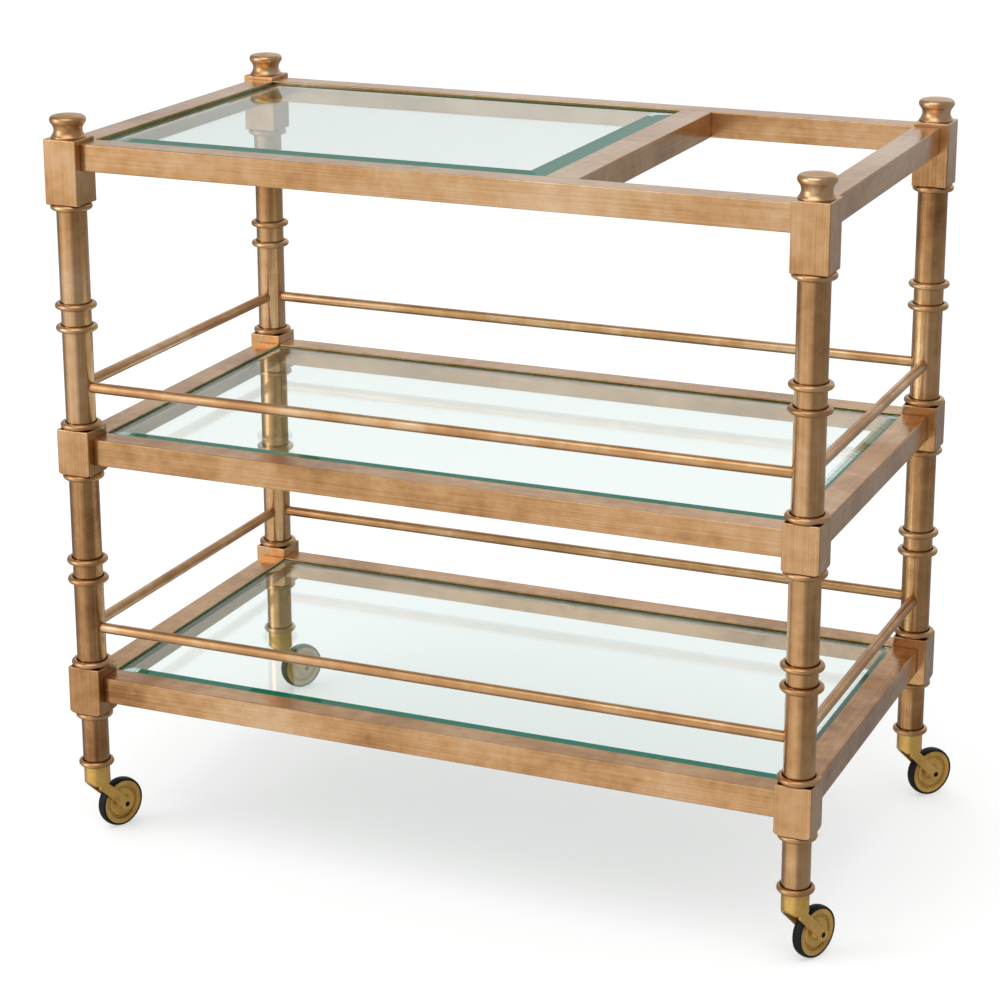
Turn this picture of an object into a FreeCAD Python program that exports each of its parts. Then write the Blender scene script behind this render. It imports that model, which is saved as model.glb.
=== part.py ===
import FreeCAD, Part
import math
import os
import re
import Sketcher

# Three tier brass and glass bar cart on four swivel casters.
# Millimetres, +Z up, X along the cart, Y from front (-Y) to back (+Y).
# The origin is on the floor under the middle of the cart's box, casters included.

# alias, value, what it sizes
DIMENSIONS = (
    ("frame_shift_x", -8.5, "posts' middle from the origin, because the casters trail to one side"),
    ("frame_shift_y", -15, "posts' middle from the origin"),
    ("post_spacing_x", 813, "post axis to post axis along the cart"),
    ("post_spacing_y", 443, "post axis to post axis across the cart"),
    ("block_side", 39, "square corner block"),
    ("block_bore", 20, "bore down the middle of a block"),
    ("edge_round", 1.3, "softened edges of the blocks"),
    ("socket_depth", 6, "how far a tube enters a block"),
    ("turned_end", 28.1, "radius where the turned lower corners of a block end"),
    ("turned_arc", 9, "hollow of the turned corners"),
    ("turned_margin", 0.6, "turned corners start this far outside the collar"),
    ("top_turned_start", 25.7, "radius where the top block's turned corners start"),
    ("top_turned_rise", 2, "turned corners of the top block"),
    ("mid_turned_rise", 3.6, "turned corners of the middle block"),
    ("low_turned_rise", 5, "turned corners of the low block"),
    ("top_block_bottom", 722.5, "height of the top block's lower face"),
    ("top_block_height", 70, "top block"),
    ("mid_block_bottom", 425.6, "height of the middle block's lower face"),
    ("mid_block_height", 50.9, "middle block"),
    ("low_block_bottom", 148.5, "height of the low block's lower face"),
    ("low_block_height", 54.8, "low block"),
    ("tube_diameter", 32.5, "post tube"),
    ("leg_diameter", 29.5, "leg tube under the low block"),
    ("tube_wall", 1.5, "wall of every tube and rail"),
    ("ring_height", 6.6, "half round rings"),
    ("ring_lip_width", 1.2, "open lip above a ring, where the tube goes in"),
    ("ring_lip_depth", 2.6, "open lip above a ring"),
    ("collar_diameter", 44.8, "beads and block collars"),
    ("leg_collar_diameter", 41.2, "collar under the low block"),
    ("foot_ring_diameter", 39, "ring at the foot of the leg"),
    ("ring_bore_gap", 0.05, "radial gap between a ring and its tube"),
    ("bead_height_a", 612, "upper tube, upper bead"),
    ("bead_height_b", 587.4, "upper tube, lower bead"),
    ("bead_height_c", 325.7, "lower tube, upper bead"),
    ("bead_height_d", 303.4, "lower tube, lower bead"),
    ("foot_ring_height", 87, "middle of the foot ring"),
    ("rail_width", 29, "rail section, across"),
    ("rail_height", 29, "rail section, up"),
    ("rail_reach", 9.5, "rail's outer face beyond the post axis"),
    ("rail_round", 1.2, "long edges of the rails"),
    ("top_rail_top", 788.2, "top frame, upper face"),
    ("mid_rail_top", 466.4, "middle frame, upper face"),
    ("low_rail_top", 192, "low frame, upper face"),
    ("divider_left", 123.5, "left face of the top frame's divider"),
    ("divider_width", 35, "divider between the glass and the open bay"),
    ("glass_thickness", 6, "every pane"),
    ("glass_gap", 1, "pane to rail"),
    ("glass_recess", 0.8, "pane's upper face below the rail's"),
    ("top_bevel_width", 23, "bevel of the top pane"),
    ("top_bevel_drop", 3.9, "bevel of the top pane"),
    ("shelf_bevel_width", 12, "bevel of the shelf panes"),
    ("shelf_bevel_drop", 1.6, "bevel of the shelf panes"),
    ("pad_diameter", 7, "clear pad under a pane"),
    ("pad_thickness", 1, "clear pad under a pane"),
    ("ledge_width", 9, "strip that carries a pane"),
    ("ledge_thickness", 2.5, "strip that carries a pane"),
    ("ledge_end_gap", 1, "between the strips at a corner"),
    ("pad_inset", 60, "outer pads from the ends of the pane's opening"),
    ("rod_diameter", 11.6, "gallery rods"),
    ("rod_grip", 1.2, "how far a gallery rod enters the post tube"),
    ("mid_rod_height", 521.8, "gallery rods above the middle shelf"),
    ("low_rod_height", 247.5, "gallery rods above the low shelf"),
    ("tie_diameter", 8, "rod that clamps a post together"),
    ("tie_grip", 13, "how far the tie rod enters the finial"),
    ("finial_base_diameter", 36.6, "finial foot"),
    ("finial_neck_diameter", 30.2, "finial waist"),
    ("finial_cap_diameter", 38.6, "finial cap"),
    ("finial_foot_height", 1.4, "straight edge of the finial's foot"),
    ("finial_neck_height", 8.6, "waist above the block"),
    ("finial_flare_height", 15.2, "top of the flare above the block"),
    ("finial_cap_height", 18.8, "widest point above the block"),
    ("finial_brow_height", 23.2, "edge of the crown above the block"),
    ("finial_height", 25.2, "top of the crown above the block"),
    ("finial_lip", 1.5, "flare to cap, radially"),
    ("finial_brow_inset", 6, "cap to crown, radially"),
    ("finial_foot_arc", 10.5, "hollow from foot to waist"),
    ("finial_flare_arc", 13, "hollow from waist to cap"),
    ("finial_brow_arc", 4.7, "rounding of the cap"),
    ("socket_length", 56, "caster socket in the leg"),
    ("socket_end_gap", 1, "above the tip of the stem"),
    ("stem_diameter", 10, "caster stem"),
    ("stem_grip", 18, "stem pressed into the fork"),
    ("stem_rise", 37, "stem above the fork"),
    ("stem_taper", 2, "tapered tip of the stem"),
    ("stem_groove_drop", 7, "retaining groove below the tip"),
    ("stem_groove_width", 2, "retaining groove"),
    ("stem_groove_depth", 0.8, "retaining groove"),
    ("running_gap", 0.06, "radial gap of a turning pair"),
    ("swivel_gap", 0.4, "fork to foot ring"),
    ("barrel_diameter", 28.8, "fork barrel"),
    ("barrel_bottom", 60, "height of the barrel's lower face"),
    ("barrel_round", 2, "barrel's lower edge"),
    ("arm_width", 11, "fork arm"),
    ("arm_thickness", 3, "fork arm"),
    ("arm_reach", 13.1, "outer face of an arm from the middle of the wheel"),
    ("arm_eye_diameter", 14.6, "round end of an arm"),
    ("caster_trail", 30.4, "axle behind the swivel axis"),
    ("wheel_diameter", 56, "over the tyre"),
    ("tyre_width", 10.4, "tyre"),
    ("tyre_depth", 2.9, "tyre, radially"),
    ("tyre_crown", 1, "rise of the tread's middle over its edges"),
    ("axle_diameter", 6, "wheel axle"),
    ("hub_face", 5, "wheel rim from the middle of the wheel"),
    ("hub_dish", 0.4, "face inside the groove below the rim"),
    ("hub_groove_depth", 2.4, "groove inside the rim"),
    ("groove_inner_edge", 15.6, "radius"),
    ("groove_inner_foot", 17.4, "radius"),
    ("groove_outer_foot", 19.2, "radius"),
    ("groove_outer_edge", 20, "radius"),
    ("hub_boss_reach", 9.5, "raised centre from the middle of the wheel"),
    ("hub_boss_radius", 6.6, "raised centre, outer face"),
    ("hub_boss_foot", 8.2, "radius of the raised centre where it meets the face"),
)

# post key, side along X, side along Y, caster yaw at rest in degrees
POSTS = (
    ("fl", -1, -1, 69),
    ("fr", 1, -1, 66),
    ("br", 1, 1, 52),
    ("bl", -1, 1, 60),
)

doc = FreeCAD.newDocument("bar_cart")
sheet = doc.addObject("Spreadsheet::Sheet", "dims")
sub_parts = []


def fill_sheet():
    for row, (alias, value, note) in enumerate(DIMENSIONS, start=1):
        sheet.set(f"A{row}", alias)
        sheet.set(f"B{row}", str(value))
        sheet.set(f"C{row}", note)
        sheet.setAlias(f"B{row}", alias)
    doc.recompute()


def bound(expression):
    return re.sub(r"[a-z]+(_[a-z]+)+", r"dims.\g<0>", expression)


def number(expression):
    return float(sheet.evalExpression(expression))


def new_body(name):
    body = doc.addObject("PartDesign::Body", name)
    body.AllowCompound = True
    sub_parts.append(body)
    place(body, "0", "0", "0")
    return body


def origin_feature(body, role):
    return next(item for item in body.Origin.OriginFeatures if item.Role == role)


def new_sketch(body, plane, rise=None):
    sketch = body.newObject("Sketcher::SketchObject", f"{body.Name}_sketch")
    sketch.AttachmentSupport = [(origin_feature(body, plane), "")]
    sketch.MapMode = "FlatFace"
    if rise:
        sketch.setExpression(".AttachmentOffset.Base.z", bound(rise))
    return sketch


def drive(sketch, kind, where, expression):
    index = sketch.addConstraint(Sketcher.Constraint(kind, *where, number(expression)))
    sketch.setExpression(f"Constraints[{index}]", bound(expression))


def arc_between(start, end, radius):
    """The minor arc from start to end, left turning for a positive radius, and whether it was reversed."""
    chord = end - start
    across = FreeCAD.Vector(-chord.y, chord.x, 0).normalize()
    sag = math.sqrt(radius ** 2 - (chord.Length / 2) ** 2)
    centre = (start + end) / 2 + across * math.copysign(sag, radius)
    circle = Part.Circle(centre, FreeCAD.Vector(0, 0, 1), abs(radius))
    ends = (circle.parameter(start), circle.parameter(end))
    if radius > 0:
        return Part.ArcOfCircle(circle, *ends), False
    return Part.ArcOfCircle(circle, ends[1], ends[0]), True


def outline(sketch, corners):
    """A closed outline. A corner is (x, y), or (x, y, radius) where an arc leads on to the next corner."""
    points = [FreeCAD.Vector(number(corner[0]), number(corner[1]), 0) for corner in corners]
    sides = []
    for index, corner in enumerate(corners):
        start = points[index]
        end = points[(index + 1) % len(points)]
        turned = False
        if len(corner) == 3:
            edge, turned = arc_between(start, end, number(corner[2]))
        else:
            edge = Part.LineSegment(start, end)
        side = sketch.addGeometry(edge)
        sides.append((side, 2, 1) if turned else (side, 1, 2))
    for index, corner in enumerate(corners):
        side, first, last = sides[index]
        before, _, before_last = sides[index - 1]
        sketch.addConstraint(Sketcher.Constraint("Coincident", before, before_last, side, first))
        drive(sketch, "DistanceX", (-1, 1, side, first), corner[0])
        drive(sketch, "DistanceY", (-1, 1, side, first), corner[1])
        if len(corner) == 3:
            drive(sketch, "Radius", (side,), corner[2].lstrip("-"))


def rectangle(sketch, left, right, low, high):
    outline(sketch, [(left, low), (right, low), (right, high), (left, high)])


def circle(sketch, x, y, diameter):
    centre = FreeCAD.Vector(number(x), number(y), 0)
    ring = sketch.addGeometry(Part.Circle(centre, FreeCAD.Vector(0, 0, 1), number(diameter) / 2))
    drive(sketch, "DistanceX", (-1, 1, ring, 3), x)
    drive(sketch, "DistanceY", (-1, 1, ring, 3), y)
    drive(sketch, "Diameter", (ring,), diameter)


def feature(body, kind, sketch, reverse=False):
    made = body.newObject(f"PartDesign::{kind}", f"{body.Name}_{kind.lower()}")
    made.Profile = sketch
    made.Reversed = reverse
    return made


def pad(body, sketch, length, symmetric=False, reverse=False):
    made = feature(body, "Pad", sketch, reverse)
    made.SideType = "Symmetric" if symmetric else "One side"
    made.setExpression("Length", bound(length))
    return made


def revolve(body, sketch):
    made = feature(body, "Revolution", sketch)
    made.ReferenceAxis = (sketch, ["V_Axis"])
    return made


def cut(body, kind, sketch, length=None, reverse=False):
    """A pocket or groove that stops the build if it removes nothing."""
    doc.recompute()
    before = body.Shape.Volume
    made = feature(body, kind, sketch, reverse)
    if kind == "Groove":
        made.ReferenceAxis = (sketch, ["V_Axis"])
    elif length:
        made.setExpression("Length", bound(length))
    else:
        made.Type = "ThroughAll"
    doc.recompute()
    if body.Shape.Volume > before - 0.1:
        raise RuntimeError(f"{made.Name} removes nothing")
    return made


def soften(body, radius, wanted):
    """Rounds the edges of the body's last feature that wanted() accepts."""
    doc.recompute()
    base = body.Tip
    names = [f"Edge{count}" for count, edge in enumerate(base.Shape.Edges, start=1) if wanted(edge)]
    made = body.newObject("PartDesign::Fillet", f"{body.Name}_fillet")
    made.Base = (base, names)
    made.setExpression("Radius", bound(radius))
    return made


def mirror(body, made, planes):
    """Repeats features across the cart's middle planes."""
    steps = []
    for plane in planes:
        step = body.newObject("PartDesign::Mirrored", f"{body.Name}_across_{plane[:2].lower()}")
        step.MirrorPlane = (origin_feature(body, plane), [""])
        steps.append(step)
    whole = body.newObject("PartDesign::MultiTransform", f"{body.Name}_mirrored")
    whole.Originals = made
    whole.Transformations = steps
    body.Tip = whole


def place(body, x, y, z, yaw=0):
    body.setExpression(".Placement.Base.x", bound(f"{x}+frame_shift_x"))
    body.setExpression(".Placement.Base.y", bound(f"{y}+frame_shift_y"))
    body.setExpression(".Placement.Base.z", bound(z))
    body.setExpression(".Placement.Rotation.Angle", str(yaw))


def to_post(sketch):
    """Moves an upright sketch so that its vertical axis is the front right post's axis."""
    sketch.setExpression(".AttachmentOffset.Base.x", bound("post_spacing_x/2"))
    sketch.setExpression(".AttachmentOffset.Base.z", bound("post_spacing_y/2"))


def straight(edge):
    return edge.Curve.TypeId == "Part::GeomLine"


def tube_profile(sketch, diameter, low, high):
    rectangle(sketch, f"{diameter}/2-tube_wall", f"{diameter}/2", low, high)


def ring_profile(sketch, bore, diameter, low):
    """A half round ring around a tube, its bore opened by a lip at the top."""
    inner = f"{bore}/2+ring_bore_gap"
    flat = f"{diameter}/2-ring_height/2"
    outline(sketch, [
        (inner, low),
        (flat, low, "ring_height/2"),
        (f"{flat}+ring_height/2", f"{low}+ring_height/2", "ring_height/2"),
        (flat, f"{low}+ring_height"),
        (f"{inner}+ring_lip_width", f"{low}+ring_height"),
        (inner, f"{low}+ring_height-ring_lip_depth"),
    ])


def corner_block(name, x, y, level, turned_start, lower_tube):
    """Square block, its lower corners turned away, bored through and counterbored for its tubes."""
    body = new_body(f"{level}_block_{name}")
    height = f"{level}_block_height"
    square = new_sketch(body, "XY_Plane")
    rectangle(square, "-block_side/2", "block_side/2", "-block_side/2", "block_side/2")
    pad(body, square, height)
    soften(body, "edge_round", straight)
    corners = new_sketch(body, "XZ_Plane")
    rise = f"{level}_turned_rise"
    outline(corners, [
        (turned_start, f"-{rise}"),
        ("block_side", f"-{rise}"),
        ("block_side", rise),
        ("turned_end", rise, "-turned_arc"),
        (turned_start, "0"),
    ])
    cut(body, "Groove", corners)
    bore = new_sketch(body, "XY_Plane")
    circle(bore, "0", "0", "block_bore")
    cut(body, "Pocket", bore, reverse=True)
    under = new_sketch(body, "XY_Plane")
    circle(under, "0", "0", lower_tube)
    cut(body, "Pocket", under, "socket_depth", reverse=True)
    if level != "top":
        over = new_sketch(body, "XY_Plane", height)
        circle(over, "0", "0", "tube_diameter")
        cut(body, "Pocket", over, "socket_depth")
    place(body, x, y, f"{level}_block_bottom")


def post_tubes(name, x, y):
    """Upper tube, lower tube and leg of one post, each entering its blocks."""
    body = new_body(f"post_tubes_{name}")
    profile = new_sketch(body, "XZ_Plane")
    for lower, upper in (("mid", "top"), ("low", "mid")):
        foot = f"{lower}_block_bottom+{lower}_block_height-socket_depth"
        tube_profile(profile, "tube_diameter", foot, f"{upper}_block_bottom+socket_depth")
    tube_profile(profile, "leg_diameter", "foot_ring_height-ring_height/2", "low_block_bottom+socket_depth")
    revolve(body, profile)
    place(body, x, y, "0")


def turned_at_posts(name, draw):
    """One post's set of turned pieces, mirrored to the other three posts."""
    body = new_body(name)
    profile = new_sketch(body, "XZ_Plane")
    draw(profile)
    to_post(profile)
    mirror(body, [revolve(body, profile)], ("YZ_Plane", "XZ_Plane"))


def draw_beads(profile):
    for height in "abcd":
        ring_profile(profile, "tube_diameter", "collar_diameter", f"bead_height_{height}-ring_height/2")


def draw_collars(profile):
    ring_profile(profile, "tube_diameter", "collar_diameter", "top_block_bottom-ring_height")
    for level in ("mid", "low"):
        over = f"{level}_block_bottom+{level}_block_height"
        ring_profile(profile, "tube_diameter", "collar_diameter", over)
    ring_profile(profile, "tube_diameter", "collar_diameter", "mid_block_bottom-ring_height")
    ring_profile(profile, "leg_diameter", "leg_collar_diameter", "low_block_bottom-ring_height")
    ring_profile(profile, "leg_diameter", "foot_ring_diameter", "foot_ring_height-ring_height/2")


def draw_finial(profile):
    """Flared foot, waist and domed cap, with a blind bore for the tie rod."""
    base = "top_block_bottom+top_block_height"
    brow = "(finial_cap_diameter/2-finial_brow_inset)"
    rise = "(finial_height-finial_brow_height)"
    outline(profile, [
        ("tie_diameter/2", base),
        ("finial_base_diameter/2", base),
        ("finial_base_diameter/2", f"{base}+finial_foot_height", "-finial_foot_arc"),
        ("finial_neck_diameter/2", f"{base}+finial_neck_height", "-finial_flare_arc"),
        ("finial_cap_diameter/2-finial_lip", f"{base}+finial_flare_height", "finial_brow_arc"),
        ("finial_cap_diameter/2", f"{base}+finial_cap_height", "finial_brow_arc"),
        (brow, f"{base}+finial_brow_height", f"({brow}^2+{rise}^2)/(2*{rise})"),
        ("0", f"{base}+finial_height"),
        ("0", f"{base}+tie_grip"),
        ("tie_diameter/2", f"{base}+tie_grip"),
    ])


def draw_tie_rod(profile):
    rectangle(
        profile, "0", "tie_diameter/2",
        "foot_ring_height-ring_height/2+socket_length-tie_grip", "top_block_bottom+top_block_height+tie_grip",
    )


def draw_caster_socket(profile):
    """Plug in the leg: a bore for the caster stem below and one for the tie rod above, with a web between."""
    foot = "foot_ring_height-ring_height/2"
    stem_bore = "stem_diameter/2+running_gap"
    outer = "leg_diameter/2-tube_wall"
    outline(profile, [
        (stem_bore, foot),
        (outer, foot),
        (outer, f"{foot}+socket_length"),
        ("tie_diameter/2", f"{foot}+socket_length"),
        ("tie_diameter/2", f"{foot}+socket_length-tie_grip"),
        ("0", f"{foot}+socket_length-tie_grip"),
        ("0", f"{foot}+stem_rise+socket_end_gap"),
        (stem_bore, f"{foot}+stem_rise+socket_end_gap"),
    ])


def rail_bar(name, plane, across, top, length, width="rail_width"):
    """Rectangular tube with rounded edges; across is the middle of its section from the cart's middle."""
    body = new_body(name)
    section = new_sketch(body, plane)
    rectangle(section, f"{across}-{width}/2", f"{across}+{width}/2", f"{top}-rail_height", top)
    pad(body, section, length, symmetric=True)
    soften(body, "rail_round", lambda edge: edge.Length > number(length) - 1)
    hollow = new_sketch(body, plane)
    rectangle(
        hollow, f"{across}-{width}/2+tube_wall", f"{across}+{width}/2-tube_wall",
        f"{top}-rail_height+tube_wall", f"{top}-tube_wall",
    )
    made = cut(body, "Pocket", hollow)
    made.SideType = "Symmetric"
    return body


def rails():
    """Four rails on each level, from block to block, and the divider of the top frame from rail to rail."""
    long_run = "post_spacing_x-block_side"
    short_run = "post_spacing_y-block_side"
    inset = "(block_side/2-rail_reach)/2"
    for level in ("top", "mid", "low"):
        top = f"{level}_rail_top"
        rail_bar(f"{level}_rail_front", "YZ_Plane", f"-post_spacing_y/2+{inset}", top, long_run)
        rail_bar(f"{level}_rail_back", "YZ_Plane", f"post_spacing_y/2-{inset}", top, long_run)
        rail_bar(f"{level}_rail_left", "XZ_Plane", f"-post_spacing_x/2+{inset}", top, short_run)
        rail_bar(f"{level}_rail_right", "XZ_Plane", f"post_spacing_x/2-{inset}", top, short_run)
    middle = "divider_left+divider_width/2"
    rail_bar("top_divider", "XZ_Plane", middle, "top_rail_top", short_run, "divider_width")


def pane(level, left, right, bevel):
    """A glass plate with a shallow bevel all round its upper face."""
    body = new_body(f"{level}_glass")
    plan = new_sketch(body, "XY_Plane", f"{level}_rail_top-glass_recess-glass_thickness")
    depth = "(post_spacing_y-block_side)/2-glass_gap"
    rectangle(plan, f"{left}+glass_gap", f"{right}-glass_gap", f"-({depth})", depth)
    pad(body, plan, "glass_thickness")
    doc.recompute()
    plate = body.Tip
    upper = plate.Shape.BoundBox.ZMax
    names = [
        f"Edge{count}" for count, edge in enumerate(plate.Shape.Edges, start=1)
        if edge.BoundBox.ZMin > upper - 0.1
    ]
    slope = body.newObject("PartDesign::Chamfer", f"{body.Name}_bevel")
    slope.Base = (plate, names)
    slope.ChamferType = "Two distances"
    slope.setExpression("Size", bound(f"{bevel}_bevel_drop"))
    slope.setExpression("Size2", bound(f"{bevel}_bevel_width"))
    doc.recompute()
    flat = next(face for face in slope.Shape.Faces if face.BoundBox.ZMin > upper - 0.1)
    if flat.BoundBox.XLength > plate.Shape.BoundBox.XLength - number(f"{bevel}_bevel_width"):
        slope.FlipDirection = True


def panes():
    inner = "(post_spacing_x-block_side)/2"
    pane("top", f"-{inner}", "divider_left", "top")
    pane("mid", f"-{inner}", inner, "shelf")
    pane("low", f"-{inner}", inner, "shelf")


def glass_ledges():
    """Strips on the rails' inner faces, under each pane, set inside the corners so that they don't meet."""
    body = new_body("glass_ledges")
    side_x = "(post_spacing_x-block_side)/2"
    side_y = "(post_spacing_y-block_side)/2"
    inset = "(ledge_width+ledge_end_gap)"
    for level, right in (("top", "divider_left"), ("mid", side_x), ("low", side_x)):
        top = f"{level}_rail_top-glass_recess-glass_thickness-pad_thickness"
        plan = new_sketch(body, "XY_Plane", top)
        for low, high in ((f"-{side_y}", f"-{side_y}+ledge_width"), (f"{side_y}-ledge_width", side_y)):
            rectangle(plan, f"-{side_x}+{inset}", f"{right}-{inset}", low, high)
        for low, high in ((f"-{side_x}", f"-{side_x}+ledge_width"), (f"{right}-ledge_width", right)):
            rectangle(plan, low, high, f"-{side_y}+{inset}", f"{side_y}-{inset}")
        pad(body, plan, "ledge_thickness", reverse=True)


def glass_pads():
    """Three clear pads on each long ledge of each pane."""
    body = new_body("glass_pads")
    side_x = "(post_spacing_x-block_side)/2"
    line_y = "(post_spacing_y-block_side-ledge_width)/2"
    for level, right in (("top", "divider_left"), ("mid", side_x), ("low", side_x)):
        plan = new_sketch(body, "XY_Plane", f"{level}_rail_top-glass_recess-glass_thickness-pad_thickness")
        for x in (f"-{side_x}+pad_inset", f"({right}-{side_x})/2", f"{right}-pad_inset"):
            circle(plan, x, f"-{line_y}", "pad_diameter")
            circle(plan, x, line_y, "pad_diameter")
        pad(body, plan, "pad_thickness")


def gallery_rods():
    """Round rods from tube to tube, on all four sides above the middle and the low shelf."""
    body = new_body("gallery_rods")
    made = []
    for plane, side, run in (
        ("YZ_Plane", "post_spacing_y/2", "post_spacing_x-tube_diameter+2*rod_grip"),
        ("XZ_Plane", "post_spacing_x/2", "post_spacing_y-tube_diameter+2*rod_grip"),
    ):
        section = new_sketch(body, plane)
        circle(section, side, "mid_rod_height", "rod_diameter")
        circle(section, side, "low_rod_height", "rod_diameter")
        made.append(pad(body, section, run, symmetric=True))
    mirror(body, made, ("YZ_Plane", "XZ_Plane"))


def caster_fork(name, x, y, yaw):
    """Barrel under the foot ring, its rear corner cut at 45 degrees, with two flat arms down to the axle."""
    body = new_body(f"caster_fork_{name}")
    top = "foot_ring_height-ring_height/2-swivel_gap"
    plan = new_sketch(body, "XY_Plane", "barrel_bottom")
    circle(plan, "0", "0", "barrel_diameter")
    pad(body, plan, f"{top}-barrel_bottom")
    soften(body, "barrel_round", lambda edge: edge.BoundBox.ZMax < number("barrel_bottom") + 0.1)
    axle = "wheel_diameter/2"
    half = "arm_width/2*cos(45)"
    root = "barrel_bottom+arm_width/2"
    slant = f"caster_trail-{half}+{axle}-{half}"
    rear = "(-sqrt(barrel_diameter^2/4-arm_reach^2))"
    corner = new_sketch(body, "XZ_Plane", "barrel_diameter/2")
    outline(corner, [
        (f"{slant}-barrel_bottom", "barrel_bottom"),
        ("-barrel_diameter/2", f"{slant}+barrel_diameter/2"),
        ("-barrel_diameter/2", "barrel_bottom"),
    ])
    cut(body, "Pocket", corner)
    for side in ("arm_reach", "arm_thickness-arm_reach"):
        strap = new_sketch(body, "XZ_Plane", side)
        outline(strap, [
            (f"caster_trail-{half}", f"{axle}-{half}"),
            (f"caster_trail+{half}", f"{axle}+{half}"),
            (f"caster_trail+{half}-({root}-{axle}-{half})", root),
            (rear, root),
            (rear, f"{slant}-{rear}"),
        ])
        pad(body, strap, "arm_thickness", reverse=True)
        end = new_sketch(body, "XZ_Plane", side)
        circle(end, "caster_trail", axle, "arm_eye_diameter")
        pad(body, end, "arm_thickness", reverse=True)
    pin_hole = new_sketch(body, "XZ_Plane", "barrel_diameter")
    circle(pin_hole, "caster_trail", axle, "axle_diameter")
    cut(body, "Pocket", pin_hole)
    stem_hole = new_sketch(body, "XY_Plane", top)
    circle(stem_hole, "0", "0", "stem_diameter")
    cut(body, "Pocket", stem_hole, "stem_grip")
    place(body, x, y, "0", yaw)


def caster_stem(name, x, y, yaw):
    """Pin from the fork up into the leg's socket, with a retaining groove and a tapered tip."""
    body = new_body(f"caster_stem_{name}")
    foot = "foot_ring_height-ring_height/2-swivel_gap"
    tip = f"{foot}+stem_rise"
    groove_top = f"{tip}-stem_groove_drop"
    profile = new_sketch(body, "XZ_Plane")
    outline(profile, [
        ("0", f"{foot}-stem_grip"),
        ("stem_diameter/2", f"{foot}-stem_grip"),
        ("stem_diameter/2", f"{groove_top}-stem_groove_width"),
        ("stem_diameter/2-stem_groove_depth", f"{groove_top}-stem_groove_width"),
        ("stem_diameter/2-stem_groove_depth", groove_top),
        ("stem_diameter/2", groove_top),
        ("stem_diameter/2", f"{tip}-stem_taper"),
        ("stem_diameter/2-stem_taper", tip),
        ("0", tip),
    ])
    revolve(body, profile)
    place(body, x, y, "0", yaw)


def on_axle(name, piece, x, y, yaw, draw):
    """A turned piece drawn about a vertical axis, laid over onto the wheel's axle."""
    body = new_body(f"{piece}_{name}")
    profile = new_sketch(body, "XY_Plane")
    draw(profile)
    revolve(body, profile)
    place(body, f"{x}+cos({yaw})*caster_trail", f"{y}+sin({yaw})*caster_trail", "wheel_diameter/2", yaw)


def draw_axle(profile):
    rectangle(profile, "0", "axle_diameter/2", "-arm_reach", "arm_reach")


def draw_hub(profile):
    """Wheel disc: flat rim, turned groove and a raised centre on both faces."""
    bore = "axle_diameter/2+running_gap"
    rim = "wheel_diameter/2-tyre_depth"
    floor = "hub_face-hub_groove_depth"
    half = [
        (bore, "hub_boss_reach"),
        ("hub_boss_radius", "hub_boss_reach"),
        ("hub_boss_foot", "hub_face-hub_dish"),
        ("groove_inner_edge", "hub_face-hub_dish"),
        ("groove_inner_foot", floor),
        ("groove_outer_foot", floor),
        ("groove_outer_edge", "hub_face"),
        (rim, "hub_face"),
    ]
    outline(profile, [(x, f"-({y})") for x, y in half] + half[::-1])


def draw_tyre(profile):
    """Thin rubber tread with a crowned running face."""
    outline(profile, [
        ("wheel_diameter/2-tyre_depth", "-tyre_width/2"),
        ("wheel_diameter/2-tyre_crown", "-tyre_width/2", "(tyre_width^2/4+tyre_crown^2)/(2*tyre_crown)"),
        ("wheel_diameter/2-tyre_crown", "tyre_width/2"),
        ("wheel_diameter/2-tyre_depth", "tyre_width/2"),
    ])


def caster(name, x, y, yaw):
    caster_fork(name, x, y, yaw)
    caster_stem(name, x, y, yaw)
    on_axle(name, "caster_axle", x, y, yaw, draw_axle)
    on_axle(name, "wheel_hub", x, y, yaw, draw_hub)
    on_axle(name, "wheel_tyre", x, y, yaw, draw_tyre)


def check_document():
    for item in doc.Objects:
        if {"Invalid", "Error"} & set(item.State):
            raise RuntimeError(f"{item.Name} failed: {item.State}")
    for part in sub_parts:
        if part.Shape.isNull() or not part.Shape.isValid():
            raise RuntimeError(f"{part.Label} has no valid shape")


def write_parts():
    os.makedirs("parts", exist_ok=True)
    for part in sub_parts:
        part.Shape.exportStep(f"parts/{part.Label}.step")
        print(part.Label, len(part.Shape.Solids), round(part.Shape.Volume))


fill_sheet()
for key, side_x, side_y, caster_yaw in POSTS:
    post_x = f"{side_x}*post_spacing_x/2"
    post_y = f"{side_y}*post_spacing_y/2"
    corner_block(key, post_x, post_y, "top", "top_turned_start", "tube_diameter")
    corner_block(key, post_x, post_y, "mid", "collar_diameter/2+turned_margin", "tube_diameter")
    corner_block(key, post_x, post_y, "low", "leg_collar_diameter/2+turned_margin", "leg_diameter")
    post_tubes(key, post_x, post_y)
    caster(key, post_x, post_y, caster_yaw)
turned_at_posts("finials", draw_finial)
turned_at_posts("bead_rings", draw_beads)
turned_at_posts("collar_rings", draw_collars)
turned_at_posts("tie_rods", draw_tie_rod)
turned_at_posts("caster_sockets", draw_caster_socket)
rails()
panes()
glass_ledges()
glass_pads()
gallery_rods()
doc.recompute()
check_document()
write_parts()
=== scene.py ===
import math
import bpy
from mathutils import Matrix, Vector


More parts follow.
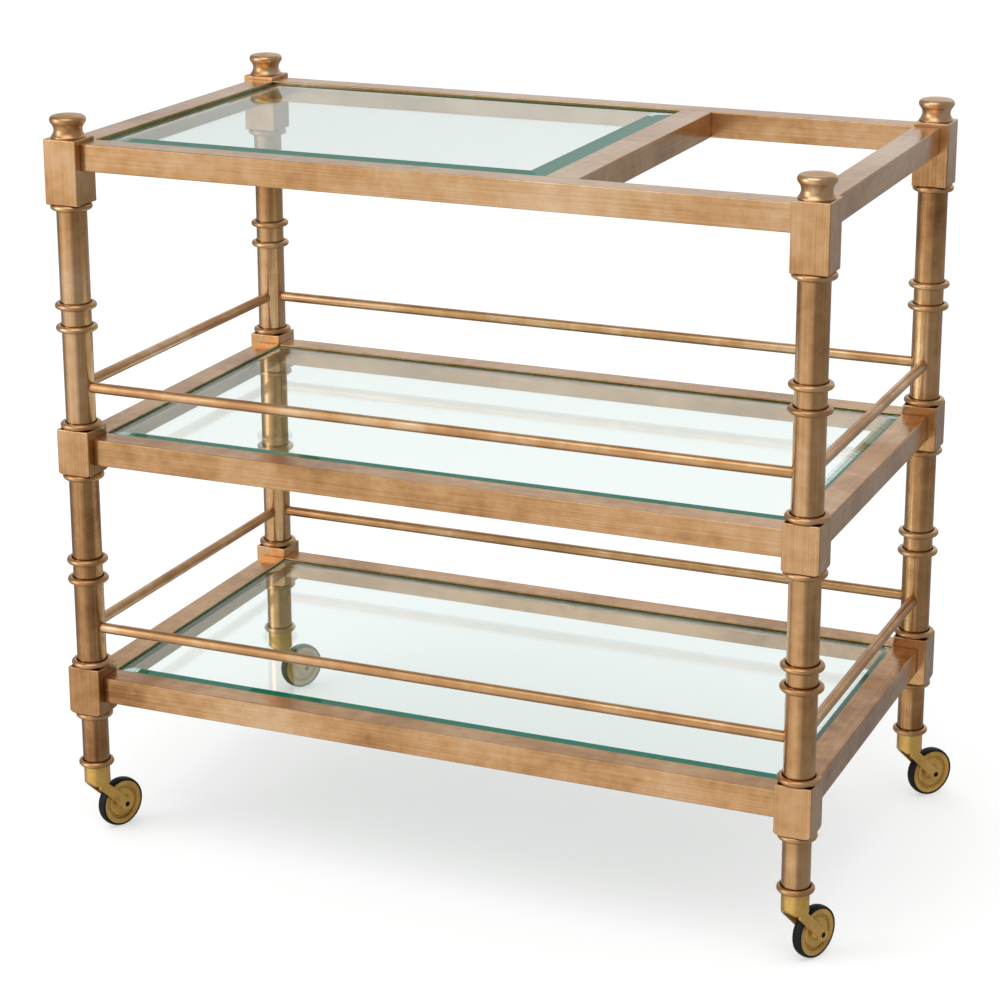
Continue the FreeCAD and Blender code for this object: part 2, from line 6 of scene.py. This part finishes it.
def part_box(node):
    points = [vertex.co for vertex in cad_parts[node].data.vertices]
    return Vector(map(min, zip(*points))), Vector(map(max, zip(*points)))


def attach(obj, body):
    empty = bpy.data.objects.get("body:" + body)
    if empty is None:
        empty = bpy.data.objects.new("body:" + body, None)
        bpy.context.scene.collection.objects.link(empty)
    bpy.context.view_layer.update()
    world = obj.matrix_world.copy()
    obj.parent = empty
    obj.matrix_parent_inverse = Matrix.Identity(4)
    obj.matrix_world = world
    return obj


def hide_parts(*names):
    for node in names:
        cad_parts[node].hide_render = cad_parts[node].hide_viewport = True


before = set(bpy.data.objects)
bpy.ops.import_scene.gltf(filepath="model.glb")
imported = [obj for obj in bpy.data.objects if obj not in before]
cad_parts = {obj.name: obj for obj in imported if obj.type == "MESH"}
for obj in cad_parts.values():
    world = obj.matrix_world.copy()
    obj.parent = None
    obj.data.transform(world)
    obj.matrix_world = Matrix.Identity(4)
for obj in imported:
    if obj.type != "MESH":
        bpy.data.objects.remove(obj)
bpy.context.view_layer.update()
bpy.ops.object.select_all(action="DESELECT")
corners = ["fl", "fr", "br", "bl"]
levels = ["top", "mid", "low"]
mm = 0.001


def middle(node):
    low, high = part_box(node)
    return (low + high) / 2


postMiddle = sum((middle(f"post_tubes_{corner}") for corner in corners), Vector()) / len(corners)
postMiddle.z = 0


def linear(hexColour):
    # sRGB hex to linear red, green, blue and a full alpha
    colour = []
    for at in (1, 3, 5):
        share = int(hexColour[at:at + 2], 16) / 255
        colour.append(share / 12.92 if share <= 0.04045 else ((share + 0.055) / 1.055) ** 2.4)
    return colour + [1]


def addNode(tree, kind, settings=None, inputs=None, stops=()):
    # one node with its settings, its sockets given a value or linked, and its colour stops if it has any
    node = tree.nodes.new(kind)
    for index, (place, colour) in enumerate(stops):
        while len(node.color_ramp.elements) <= index:
            node.color_ramp.elements.new(place)
        node.color_ramp.elements[index].position = place
        node.color_ramp.elements[index].color = linear(colour)
    for name, value in (settings or {}).items():
        setattr(node, name, value)
    for socket, value in (inputs or {}).items():
        if isinstance(value, bpy.types.NodeSocket):
            tree.links.new(value, node.inputs[socket])
        else:
            node.inputs[socket].default_value = value
    return node


def newMaterial(name):
    material = bpy.data.materials.new(name)
    material.use_nodes = True
    material.node_tree.nodes.clear()
    return material, material.node_tree


antiqueBrass = {
    "shadow": "#9c6a39",  # patina left in the hollows
    "body": "#d2a16c",  # brushed back to the metal
    "light": "#ecc8a0",  # rubbed high spots
    # painted shade: the colour laid into hollows and joints where little open sky reaches
    "creviceShade": "#3a2713",
    "metallic": 1.0,
    "streak": 0.24,  # share of the brushing in the tone, the cloud has what the mottle leaves
    "mottleShare": 0.2,
    "heightShading": 0.08,  # tone gained per metre of height, painted light and shade: the upper parts lighter, the lower parts darker
    "midHeight": 450,  # mm
    "streakLength": 160,  # mm, brushing along the piece
    "streakWidth": 1.3,  # mm, a real scratch is finer, drawn coarse enough to show
    "cloud": 150,  # mm, uneven patina
    "mottle": 14,  # mm
    "roughness": (0.18, 0.28),  # of light and of dark tones
    "roughTones": (0.35, 0.65),  # between these tones it changes from one to the other
    "bump": 0.006,  # mm
    "scratch": 0.6,  # strength of the bump
    "toneStops": (0.34, 0.5, 0.68),  # tones of the shadow, body and light colours
    "creviceReach": 4,  # mm
    "creviceLimits": (0.15, 0.75),  # share of open sky where the painted shade is full and where it ends
    "edgeRound": 1.1,  # mm, eased edges that catch the light
    "edgeTurn": 0.85,  # cosine to the flat face at which an edge gets the full wear and painted highlight
    "edgeWearAndHighlight": 0.16,  # tone gained on them, wear and painted highlight together
    "lacquer": 0.42,
    "lacquerRoughness": 0.15,
}

castBrass = dict(
    antiqueBrass,
    metallic=0.8,
    heightShading=0.0,
    shadow="#b48b42",
    body="#dcae56",
    light="#e7bf72",
    streakLength=12,
    streakWidth=1.4,
    cloud=18,
    mottle=4,
    roughness=(0.26, 0.42),
    bump=0.02,
    creviceReach=3,
)


def brass(name, look, grain):
    # Brass, brushed along the grain axis, darkened with patina and with painted shade in its hollows, made
    # lighter upwards and on its eased edges by painted light, and lacquered: soft streaks and warm clouds
    material, tree = newMaterial(name)
    place = addNode(tree, "ShaderNodeTexCoord").outputs["Object"]
    stretch = [1 / (look["streakWidth"] * mm)] * 3
    if grain is not None:
        stretch[grain] = 1 / (look["streakLength"] * mm)
    along = addNode(tree, "ShaderNodeMapping", inputs={"Vector": place, "Scale": stretch}).outputs["Vector"]
    noise = {"Detail": 3.0, "Roughness": 0.55}
    streak = addNode(tree, "ShaderNodeTexNoise", inputs={
        **noise, "Vector": along, "Scale": 1.0}).outputs["Fac"]
    cloud = addNode(tree, "ShaderNodeTexNoise", inputs={
        **noise, "Vector": place, "Scale": 1 / (look["cloud"] * mm)}).outputs["Fac"]
    mottle = addNode(tree, "ShaderNodeTexNoise", inputs={
        **noise, "Vector": place, "Scale": 1 / (look["mottle"] * mm)}).outputs["Fac"]
    brushed = addNode(tree, "ShaderNodeMath", {"operation": "MULTIPLY"}, {
        0: streak, 1: look["streak"]}).outputs[0]
    clouded = addNode(tree, "ShaderNodeMath", {"operation": "MULTIPLY_ADD"}, {
        0: cloud, 1: 1 - look["mottleShare"] - look["streak"], 2: brushed}).outputs[0]
    even = addNode(tree, "ShaderNodeMath", {"operation": "MULTIPLY_ADD"}, {
        0: mottle, 1: look["mottleShare"], 2: clouded}).outputs[0]
    # painted light and shade: the tone rises with height, darker low down and lighter up high
    height = addNode(tree, "ShaderNodeSeparateXYZ", inputs={"Vector": place}).outputs["Z"]
    over = addNode(tree, "ShaderNodeMath", {"operation": "SUBTRACT"}, {
        0: height, 1: look["midHeight"] * mm}).outputs[0]
    risen = addNode(tree, "ShaderNodeMath", {"operation": "MULTIPLY_ADD"}, {
        0: over, 1: look["heightShading"], 2: even}).outputs[0]
    eased = addNode(tree, "ShaderNodeBevel", {"samples": 4}, {
        "Radius": look["edgeRound"] * mm}).outputs["Normal"]
    flat = addNode(tree, "ShaderNodeNewGeometry").outputs["Normal"]
    facing = addNode(tree, "ShaderNodeVectorMath", {"operation": "DOT_PRODUCT"}, {
        0: eased, 1: flat}).outputs["Value"]
    # painted highlight and wear: the tone rises on the eased edges
    edge = addNode(tree, "ShaderNodeMapRange", inputs={
        "Value": facing, "From Min": 1.0, "From Max": look["edgeTurn"],
        "To Max": look["edgeWearAndHighlight"]}).outputs["Result"]
    tone = addNode(tree, "ShaderNodeMath", {"operation": "ADD"}, {0: risen, 1: edge}).outputs[0]
    stops = zip(look["toneStops"], (look["shadow"], look["body"], look["light"]))
    colour = addNode(tree, "ShaderNodeValToRGB", None, {"Fac": tone}, stops).outputs["Color"]
    # painted shade: the ambient occlusion darkens hollows and joints towards the crevice shade colour
    hollow = addNode(tree, "ShaderNodeAmbientOcclusion", {"samples": 6}, {
        "Distance": look["creviceReach"] * mm}).outputs["AO"]
    fullShade, noShade = look["creviceLimits"]
    unshadedShare = addNode(tree, "ShaderNodeMapRange", inputs={
        "Value": hollow, "From Min": fullShade, "From Max": noShade}).outputs["Result"]
    shadedColour = addNode(tree, "ShaderNodeMix", {"data_type": "RGBA"}, {
        "Factor": unshadedShare, 6: linear(look["creviceShade"]), 7: colour}).outputs[2]
    smooth, coarse = look["roughness"]
    dark, pale = look["roughTones"]
    rough = addNode(tree, "ShaderNodeMapRange", inputs={
        "Value": tone, "From Min": dark, "From Max": pale,
        "To Min": coarse, "To Max": smooth}).outputs["Result"]
    bump = addNode(tree, "ShaderNodeBump", inputs={
        "Height": streak, "Distance": look["bump"] * mm, "Strength": look["scratch"],
        "Normal": eased}).outputs["Normal"]
    shader = addNode(tree, "ShaderNodeBsdfPrincipled", inputs={
        "Base Color": shadedColour, "Metallic": look["metallic"], "Roughness": rough, "Normal": bump,
        "Coat Weight": look["lacquer"], "Coat Roughness": look["lacquerRoughness"]}).outputs["BSDF"]
    addNode(tree, "ShaderNodeOutputMaterial", inputs={"Surface": shader})
    return material


brassAlongX = brass("brushedBrassAlongX", antiqueBrass, 0)
brassAlongY = brass("brushedBrassAlongY", antiqueBrass, 1)
brassUpright = brass("brushedBrassUpright", antiqueBrass, 2)
turnedBrass = dict(
    antiqueBrass,
    streak=0.06,
    cloud=60,
    bump=0.002,
    shadow="#bd8c5c",
    roughness=(0.3, 0.4),
    lacquerRoughness=0.28,
)
brassTurned = brass("turnedBrass", turnedBrass, None)
brassCast = brass("satinCastBrass", castBrass, None)

floatGlass = {
    "ior": 1.52,
    "absorption": "#8fe0cc",
    "density": 7.0,
    "paintedGlowColour": "#1fa888",  # painted glow: the glass body emits this colour, standing in for light caught between the faces which leaves at the bevels
    "paintedGlowStrength": 8.0,
    "clear": "#fafdfc",
    "mark": "#c9e6dc",  # grinding marks across the bevel
    "markStops": (0.35, 0.5),
    "level": 0.998,  # a face whose normal is more upright than this isn't a bevel
    "barLength": 40,  # mm
    "barWidth": 5,  # mm
    "markDepth": 0.04,  # mm
    "roughness": 0.004,
}


def glass():
    # Soda lime float glass, green along its thickness; the ground bevels carry faint marks across them
    material, tree = newMaterial("bevelledFloatGlass")
    coordinates = addNode(tree, "ShaderNodeTexCoord")
    place = coordinates.outputs["Object"]
    facing = addNode(tree, "ShaderNodeSeparateXYZ", inputs={
        "Vector": coordinates.outputs["Normal"]}).outputs["Z"]
    upright = addNode(tree, "ShaderNodeMath", {"operation": "ABSOLUTE"}, {0: facing}).outputs[0]
    sloped = addNode(tree, "ShaderNodeMath", {"operation": "LESS_THAN"}, {
        0: upright, 1: floatGlass["level"]}).outputs[0]
    stretch = (1 / (floatGlass["barLength"] * mm), 1 / (floatGlass["barWidth"] * mm), 1.0)
    along = addNode(tree, "ShaderNodeMapping", inputs={"Vector": place, "Scale": stretch}).outputs["Vector"]
    bars = addNode(tree, "ShaderNodeTexNoise", inputs={
        "Vector": along, "Scale": 1.0, "Detail": 4.0}).outputs["Fac"]
    marked, unmarked = floatGlass["markStops"]
    marks = addNode(tree, "ShaderNodeValToRGB", None, {"Fac": bars}, [
        (marked, floatGlass["mark"]), (unmarked, floatGlass["clear"])]).outputs["Color"]
    tint = addNode(tree, "ShaderNodeMix", {"data_type": "RGBA"}, {
        "Factor": sloped, 6: linear(floatGlass["clear"]), 7: marks}).outputs[2]
    bump = addNode(tree, "ShaderNodeBump", inputs={
        "Height": bars, "Strength": sloped, "Distance": floatGlass["markDepth"] * mm}).outputs["Normal"]
    shader = addNode(tree, "ShaderNodeBsdfPrincipled", inputs={
        "Base Color": tint, "Roughness": floatGlass["roughness"], "IOR": floatGlass["ior"],
        "Transmission Weight": 1.0, "Normal": bump}).outputs["BSDF"]
    soaked = addNode(tree, "ShaderNodeVolumeAbsorption", inputs={
        "Color": linear(floatGlass["absorption"]), "Density": floatGlass["density"]}).outputs["Volume"]
    # painted glow: the glass body gives off light of its own, though it is no lamp
    paintedGlow = addNode(tree, "ShaderNodeEmission", inputs={
        "Color": linear(floatGlass["paintedGlowColour"]), "Strength": floatGlass["paintedGlowStrength"]}).outputs["Emission"]
    body = addNode(tree, "ShaderNodeAddShader", inputs={0: soaked, 1: paintedGlow}).outputs["Shader"]
    addNode(tree, "ShaderNodeOutputMaterial", inputs={"Surface": shader, "Volume": body})
    return material


treadRubber = {
    "stops": [(0.4, "#050505"), (0.7, "#0f0e0e")],
    "dust": 5.5,  # mm
    "dustDepth": 0.03,  # mm
    "roughness": 0.45,
    "gloss": 0.25,
}


def mouldedRubber():
    # Black moulded rubber tread: dull, faintly mottled with dust
    material, tree = newMaterial("mouldedRubber")
    place = addNode(tree, "ShaderNodeTexCoord").outputs["Object"]
    dust = addNode(tree, "ShaderNodeTexNoise", inputs={
        "Vector": place, "Scale": 1 / (treadRubber["dust"] * mm), "Detail": 4.0}).outputs["Fac"]
    colour = addNode(
        tree, "ShaderNodeValToRGB", None, {"Fac": dust}, treadRubber["stops"]).outputs["Color"]
    bump = addNode(tree, "ShaderNodeBump", inputs={
        "Height": dust, "Distance": treadRubber["dustDepth"] * mm}).outputs["Normal"]
    shader = addNode(tree, "ShaderNodeBsdfPrincipled", inputs={
        "Base Color": colour, "Roughness": treadRubber["roughness"],
        "Specular IOR Level": treadRubber["gloss"], "Normal": bump}).outputs["BSDF"]
    addNode(tree, "ShaderNodeOutputMaterial", inputs={"Surface": shader})
    return material


pinSteel = {
    "stops": [(0.35, "#1d1916"), (0.7, "#3a332d")],
    "grain": 1.1,  # mm
    "roughness": 0.42,
}


def blackenedSteel():
    # Turned steel pins, chemically blackened and lightly oiled
    material, tree = newMaterial("blackenedSteel")
    place = addNode(tree, "ShaderNodeTexCoord").outputs["Object"]
    grain = addNode(tree, "ShaderNodeTexNoise", inputs={
        "Vector": place, "Scale": 1 / (pinSteel["grain"] * mm), "Detail": 3.0}).outputs["Fac"]
    colour = addNode(tree, "ShaderNodeValToRGB", None, {"Fac": grain}, pinSteel["stops"]).outputs["Color"]
    shader = addNode(tree, "ShaderNodeBsdfPrincipled", inputs={
        "Base Color": colour, "Metallic": 1.0, "Roughness": pinSteel["roughness"]}).outputs["BSDF"]
    addNode(tree, "ShaderNodeOutputMaterial", inputs={"Surface": shader})
    return material


padSilicone = {
    "stops": [(0.3, "#dfe5e1"), (0.7, "#f1f4f2")],
    "haze": 3.3,  # mm
    "roughness": 0.3,
    "ior": 1.41,
    "clearness": 0.7,
}


def clearSilicone():
    # Soft clear silicone pads, slightly hazy
    material, tree = newMaterial("clearSilicone")
    place = addNode(tree, "ShaderNodeTexCoord").outputs["Object"]
    haze = addNode(tree, "ShaderNodeTexNoise", inputs={
        "Vector": place, "Scale": 1 / (padSilicone["haze"] * mm)}).outputs["Fac"]
    colour = addNode(
        tree, "ShaderNodeValToRGB", None, {"Fac": haze}, padSilicone["stops"]).outputs["Color"]
    shader = addNode(tree, "ShaderNodeBsdfPrincipled", inputs={
        "Base Color": colour, "Roughness": padSilicone["roughness"], "IOR": padSilicone["ior"],
        "Transmission Weight": padSilicone["clearness"]}).outputs["BSDF"]
    addNode(tree, "ShaderNodeOutputMaterial", inputs={"Surface": shader})
    return material


paneGlass = glass()
rubber = mouldedRubber()
steel = blackenedSteel()
silicone = clearSilicone()

finishes = {
    "post_tubes": brassUpright,
    "top_block": brassUpright, "mid_block": brassUpright, "low_block": brassUpright,
    "finials": brassTurned, "bead_rings": brassTurned, "collar_rings": brassTurned,
    "caster_sockets": brassCast, "caster_fork": brassCast, "wheel_hub": brassCast,
    "wheel_tyre": rubber, "caster_stem": steel, "caster_axle": steel, "tie_rods": steel,
    "top_divider": brassAlongY, "gallery_rods": brassTurned, "glass_ledges": brassTurned,
    "glass_pads": silicone, "top_glass": paneGlass, "mid_glass": paneGlass, "low_glass": paneGlass,
}
for level in levels:
    finishes.update({f"{level}_rail_front": brassAlongX, f"{level}_rail_back": brassAlongX})
    finishes.update({f"{level}_rail_left": brassAlongY, f"{level}_rail_right": brassAlongY})

for name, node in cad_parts.items():
    known = [finish for start, finish in finishes.items() if name.startswith(start)]
    node.data.materials.clear()
    node.data.materials.append(known[0])
print("materials on", len(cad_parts), "nodes")

panes = {
    "top": {"bevelWidth": 23, "bevelDrop": 3.9},  # mm
    "mid": {"bevelWidth": 12, "bevelDrop": 1.6},
    "low": {"bevelWidth": 12, "bevelDrop": 1.6},
    "arris": 0.25,  # mm, ground edge between two polished faces
    "arrisAngle": 4,  # degrees, only sharper edges are ground
}


def selectParts(piece, kind, wanted):
    # in edit mode, selects only the faces or the vertices that wanted() accepts
    bpy.ops.mesh.select_mode(type=kind)
    bpy.ops.mesh.select_all(action="DESELECT")
    bpy.ops.object.mode_set(mode="OBJECT")
    for part in piece.data.polygons if kind == "FACE" else piece.data.vertices:
        part.select = wanted(part)
    bpy.ops.object.mode_set(mode="EDIT")


def makePane(level):
    low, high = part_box(f"{level}_glass")
    look = panes[level]
    bpy.ops.object.select_all(action="DESELECT")
    bpy.ops.mesh.primitive_cube_add(size=1, location=(low + high) / 2)
    pane = bpy.context.active_object
    pane.name = f"{level}Pane"
    pane.scale = high - low
    bpy.ops.object.transform_apply(location=True, rotation=True, scale=True)
    bpy.ops.object.mode_set(mode="EDIT")
    selectParts(pane, "FACE", lambda face: face.normal.z > 0.5)
    bpy.ops.mesh.inset(thickness=look["bevelWidth"] * mm)
    selectParts(pane, "VERT", lambda vertex: vertex.co.z > high.z - mm and (
        min(high.x - vertex.co.x, vertex.co.x - low.x) < mm))
    bpy.ops.transform.translate(value=(0, 0, -look["bevelDrop"] * mm))
    bpy.ops.object.mode_set(mode="OBJECT")
    pane.data.materials.append(paneGlass)
    arris = pane.modifiers.new("arris", "BEVEL")
    arris.width = panes["arris"] * mm
    arris.segments = 2
    arris.limit_method = "ANGLE"
    arris.angle_limit = math.radians(panes["arrisAngle"])
    bpy.ops.object.modifier_apply(modifier="arris")
    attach(pane, "cart_frame")
    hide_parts(f"{level}_glass")


for level in levels:
    makePane(level)
print("panes ready")

studio = {
    "floorSize": 30.0,
    "floor": "#c2c2c2",
    "paperGlow": 0.475,  # lit from below, which keeps the shadow pale
    "sky": "#ffffff",
    "skyStrength": 1.06,
    "room": "#e7e7e7",
    "roomDark": 0.38,  # what polished metal sees of the unlit side of the studio
    "litSide": (-0.51, -0.825, -0.24),
    "litGain": 0.7,
    "litReach": 0.45,  # cosine to its middle at which this side's light starts
    "backdrop": (-0.1, 0.9, 0.42),
    "backdropGain": 0.5,
    "backdropReach": 0.7,
    "fullLight": 0.98,  # cosine from which a side is at its full light
    "aim": (0, 0, 0.4),  # metres, what both lamps face
    "key": {"place": (-2.6, -2.2, 1.5), "size": (1.6, 2.4), "power": 26},
    "top": {"place": (-0.1, -1.5, 3.0), "size": (2.4, 1.8), "power": 24},
}


def makeFloor():
    bpy.ops.mesh.primitive_plane_add(size=studio["floorSize"])
    floor = bpy.context.active_object
    floor.name = "studioFloor"
    material, tree = newMaterial("matteStudioFloor")
    shader = addNode(tree, "ShaderNodeBsdfPrincipled", inputs={
        "Base Color": linear(studio["floor"]), "Roughness": 0.9, "Specular IOR Level": 0.1,
        "Emission Color": linear(studio["sky"]), "Emission Strength": studio["paperGlow"]}).outputs["BSDF"]
    addNode(tree, "ShaderNodeOutputMaterial", inputs={"Surface": shader})
    floor.data.materials.append(material)
    floor.visible_glossy = False


def makeLight(name):
    look = studio[name]
    light = bpy.data.lights.new(name, "AREA")
    light.shape = "RECTANGLE"
    light.size, light.size_y = look["size"]
    light.energy = look["power"]
    lamp = bpy.data.objects.new(name, light)
    bpy.context.scene.collection.objects.link(lamp)
    lamp.location = look["place"]
    toward = Vector(studio["aim"]) - lamp.location
    lamp.rotation_euler = toward.to_track_quat("-Z", "Y").to_euler()


def makeSky():
    world = bpy.data.worlds.new("studioWhite")
    bpy.context.scene.world = world
    world.use_nodes = True
    tree = world.node_tree
    tree.nodes.clear()
    paper = addNode(tree, "ShaderNodeBackground", inputs={
        "Color": linear(studio["sky"]), "Strength": studio["skyStrength"]}).outputs["Background"]
    toward = addNode(tree, "ShaderNodeTexCoord").outputs["Generated"]
    glow = studio["roomDark"]
    for side, gain, reach in (
            ("litSide", "litGain", "litReach"), ("backdrop", "backdropGain", "backdropReach")):
        facing = addNode(tree, "ShaderNodeVectorMath", {"operation": "DOT_PRODUCT"}, {
            0: toward, 1: Vector(studio[side]).normalized()}).outputs["Value"]
        lobe = addNode(tree, "ShaderNodeMapRange", {"interpolation_type": "SMOOTHSTEP"}, {
            "Value": facing, "From Min": studio[reach], "From Max": studio["fullLight"]}).outputs["Result"]
        glow = addNode(tree, "ShaderNodeMath", {"operation": "MULTIPLY_ADD"}, {
            0: lobe, 1: studio[gain], 2: glow}).outputs[0]
    room = addNode(tree, "ShaderNodeBackground", inputs={
        "Color": linear(studio["room"]), "Strength": glow}).outputs["Background"]
    mirrored = addNode(tree, "ShaderNodeLightPath").outputs["Is Glossy Ray"]
    sky = addNode(tree, "ShaderNodeMixShader", inputs={0: mirrored, 1: paper, 2: room}).outputs["Shader"]
    addNode(tree, "ShaderNodeOutputWorld", inputs={"Surface": sky})


view = {
    "fromPosts": (1.1172, -2.6443, 1.3172),  # metres, from the floor between the posts
    "turn": 23.278,  # degrees
    "tilt": 16.079,
    "roll": -0.139,
    "lens": 98.44,  # mm
    "shift": (0.0086, -0.0975),
    "farthest": 60,  # metres
}


def makeCamera():
    camera = bpy.data.objects.new("studioCamera", bpy.data.cameras.new("studioCamera"))
    bpy.context.scene.collection.objects.link(camera)
    turn = Matrix.Rotation(math.radians(view["turn"]), 4, "Z")
    tilt = Matrix.Rotation(math.radians(90 - view["tilt"]), 4, "X")
    roll = Matrix.Rotation(math.radians(view["roll"]), 4, "Z")
    camera.matrix_world = Matrix.Translation(postMiddle + Vector(view["fromPosts"])) @ turn @ tilt @ roll
    camera.data.lens = view["lens"]
    camera.data.shift_x, camera.data.shift_y = view["shift"]
    camera.data.clip_end = view["farthest"]
    bpy.context.scene.camera = camera


makeFloor()
makeSky()
for name in ("key", "top"):
    makeLight(name)
makeCamera()
bpy.context.scene.view_settings.view_transform = "Standard"
print("stage, light and camera ready")
